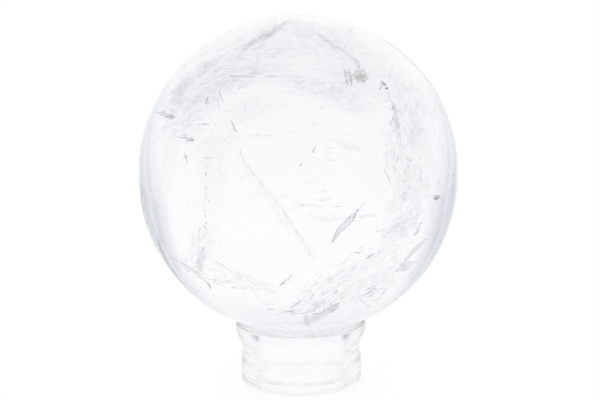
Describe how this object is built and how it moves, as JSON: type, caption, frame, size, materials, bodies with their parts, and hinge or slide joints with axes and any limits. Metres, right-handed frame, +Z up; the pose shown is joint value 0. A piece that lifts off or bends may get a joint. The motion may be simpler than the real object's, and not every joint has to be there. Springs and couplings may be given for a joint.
{
  "type": "crystal ball on stand",
  "caption": "Solid clear rock-crystal sphere that lies loose in the hollow seat of a low, clear ring stand with a flared lip and a flat base ring.",
  "frame": {"origin": "centre of the stand's resting face, on the table", "axes": "+Z up along the shared axis of stand and ball. The part is round about +Z, so +X and +Y are a free choice: a viewer looks along +Y with +X to the right"},
  "size_m": [0.1, 0.1, 0.1169],
  "materials": {
    "rock_crystal": "polished natural rock crystal with pale veils, cracks and flakes inside",
    "clear_acrylic": "polished clear acrylic"
  },
  "bodies": {
    "stand": {"stand_base_ring": "clear_acrylic", "stand_collar": "clear_acrylic"},
    "ball": {"crystal_ball": "rock_crystal"}
  },
  "joints": [
    {"name": "ball_lift", "type": "slide", "parent": "stand", "child": "ball", "axis": [0, 0, 1], "range_m": [0, 0.06]}
  ]
}
